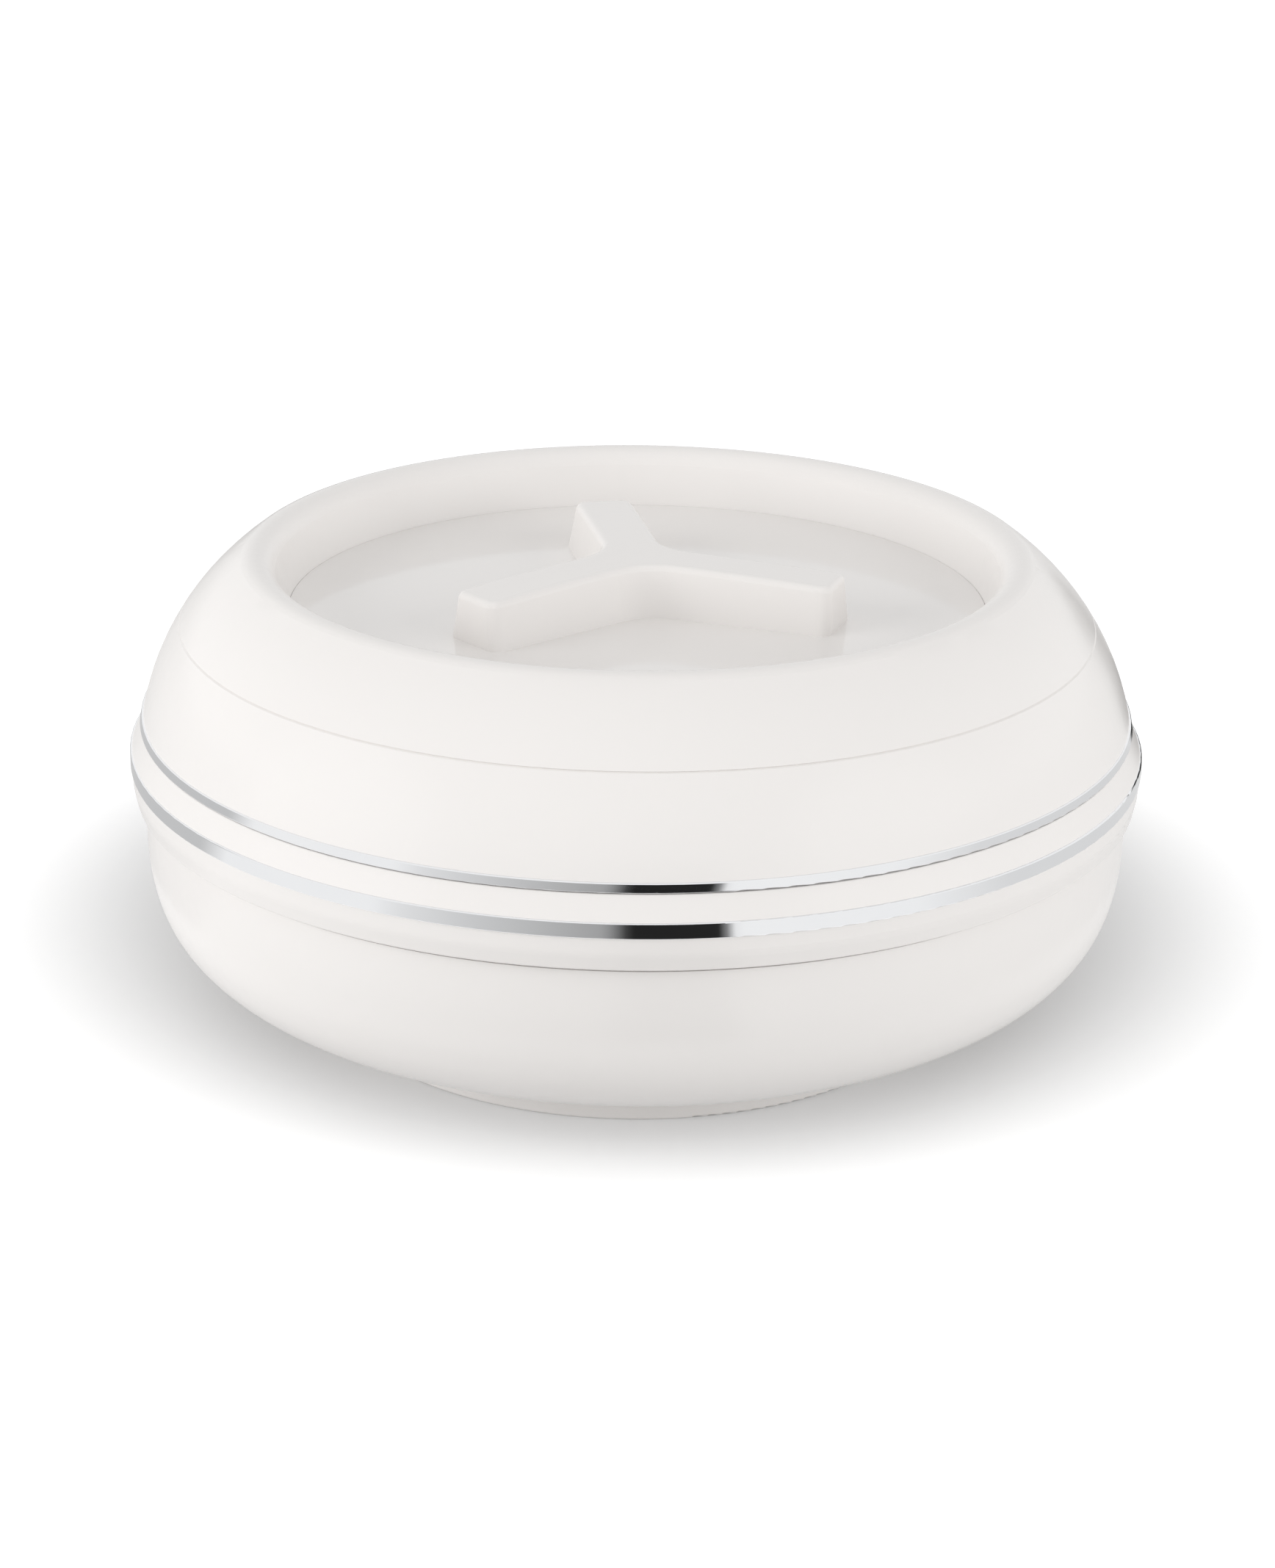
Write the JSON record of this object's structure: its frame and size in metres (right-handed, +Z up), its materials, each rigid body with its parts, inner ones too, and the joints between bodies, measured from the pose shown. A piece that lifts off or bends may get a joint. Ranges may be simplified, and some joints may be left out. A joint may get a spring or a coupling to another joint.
{
  "type": "insulated serving casserole",
  "caption": "Round insulated casserole for flatbreads: steel bowl in a foamed plastic body, domed lift-off lid with a star-shaped handle sunk in a dish.",
  "frame": {"origin": "centre of the foot ring, on the surface the casserole stands on", "axes": "+Z up along the round body's axis; one arm of the lid's handle points along +Y"},
  "size_m": [0.2606, 0.2606, 0.1229],
  "materials": {
    "white_shell": "satin-gloss white moulding",
    "white_gloss": "polished white moulding",
    "white_inner": "matt white moulding",
    "chrome_trim": "mirror-plated trim",
    "steel": "satin spun stainless steel",
    "silicone": "soft translucent white silicone",
    "foam": "rigid insulating foam",
    "screw_steel": "zinc-plated steel"
  },
  "bodies": {
    "base": {"outer_bowl": "white_shell", "rim_ring": "white_shell", "lower_chrome_band": "chrome_trim", "inner_steel_bowl": "steel", "bowl_rim_seal": "silicone", "base_foam": "foam", "base_fill_plug": "white_inner", "foot_ring": "white_shell", "foot_screws": "screw_steel"},
    "lid": {"lid_skirt": "white_shell", "upper_chrome_band": "chrome_trim", "lid_crown": "white_shell", "dish_floor": "white_gloss", "lid_handle": "white_shell", "handle_washers": "screw_steel", "handle_screws": "screw_steel", "lid_closing_ring": "white_inner", "lid_gasket": "silicone", "lid_inner_liner": "steel", "lid_fill_plug": "white_inner", "lid_foam": "foam"}
  },
  "joints": [
    {"name": "lid_lift", "type": "slide", "parent": "base", "child": "lid", "axis": [0, 0, 1], "range_m": [0, 0.12]}
  ]
}
